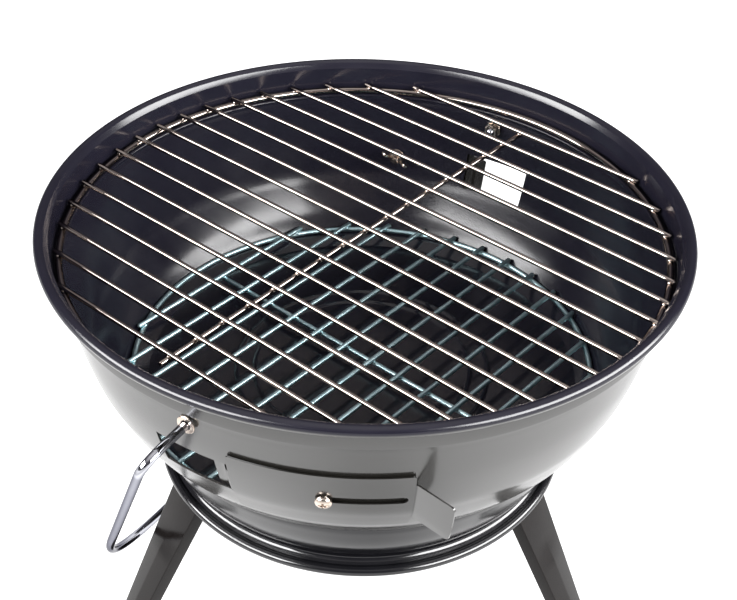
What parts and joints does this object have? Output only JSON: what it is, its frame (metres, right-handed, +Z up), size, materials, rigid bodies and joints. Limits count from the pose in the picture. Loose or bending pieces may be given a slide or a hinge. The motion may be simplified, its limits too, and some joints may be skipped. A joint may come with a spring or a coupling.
{
  "type": "kettle charcoal grill",
  "caption": "Low kettle charcoal grill: a round enamelled bowl on a base pan and splayed legs, with cooking and charcoal grates, sliding air dampers and a carrying bail.",
  "frame": {"origin": "on the ground under the bowl's axis", "axes": "+Z up along the bowl's axis, -Y to the front, where the front damper is, +X to the right"},
  "size_m": [0.3558, 0.3558, 0.2766],
  "materials": {
    "black_enamel": "gloss",
    "black_paint": "gloss",
    "chrome_wire": "gloss",
    "zinc_wire": "satin",
    "plated_steel": "gloss"
  },
  "bodies": {
    "grill": {"bowl": "black_enamel", "base_pan": "black_enamel", "leg_left": "black_paint", "leg_right": "black_paint", "leg_rear": "black_paint", "leg_washer_left": "plated_steel", "leg_washer_right": "plated_steel", "leg_washer_rear": "plated_steel", "leg_nut_left": "plated_steel", "leg_nut_right": "plated_steel", "leg_nut_rear": "plated_steel", "damper_screw_front": "plated_steel", "damper_screw_back": "plated_steel", "damper_washer_front": "plated_steel", "damper_washer_back": "plated_steel", "bail_washer_outer_front": "plated_steel", "bail_washer_outer_back": "plated_steel", "bail_washer_inner_front": "plated_steel", "bail_washer_inner_back": "plated_steel", "bail_nut_front": "plated_steel", "bail_nut_back": "plated_steel"},
    "front_damper": {"damper_front": "black_enamel"},
    "back_damper": {"damper_back": "black_enamel"},
    "front_wing_nut": {"wing_nut_front": "plated_steel"},
    "back_wing_nut": {"wing_nut_back": "plated_steel"},
    "bail": {"bail_handle": "chrome_wire"},
    "cooking_grate": {"cooking_grate": "chrome_wire"},
    "charcoal_grate": {"charcoal_grate": "zinc_wire"}
  },
  "joints": [
    {"name": "bail_swing", "type": "hinge", "parent": "grill", "child": "bail", "pos_m": [0, 0, 0.247], "axis": [0.4924, 0.8704, 0], "range_deg": [0, 286]},
    {"name": "front_damper_slide", "type": "hinge", "parent": "grill", "child": "front_damper", "pos_m": [0, 0, 0.2137], "axis": [0, 0, 1], "range_deg": [-13.5, 0]},
    {"name": "back_damper_slide", "type": "hinge", "parent": "grill", "child": "back_damper", "pos_m": [0, 0, 0.2137], "axis": [0, 0, 1], "range_deg": [-11.7, 1.8]},
    {"name": "front_wing_nut_turn", "type": "hinge", "parent": "grill", "child": "front_wing_nut", "pos_m": [-0.01633, -0.15801, 0.2152], "axis": [-0.0997, -0.965, -0.2425], "range_deg": [0, 180]},
    {"name": "back_wing_nut_turn", "type": "hinge", "parent": "grill", "child": "back_wing_nut", "pos_m": [0.01908, 0.1577, 0.2152], "axis": [0.1165, 0.9631, -0.2425], "range_deg": [0, 180]},
    {"name": "cooking_grate_lift", "type": "slide", "parent": "grill", "child": "cooking_grate", "axis": [0, 0, 1], "range_m": [0, 0.07]},
    {"name": "charcoal_grate_lift", "type": "slide", "parent": "grill", "child": "charcoal_grate", "axis": [0, 0, 1], "range_m": [0, 0.07]}
  ]
}
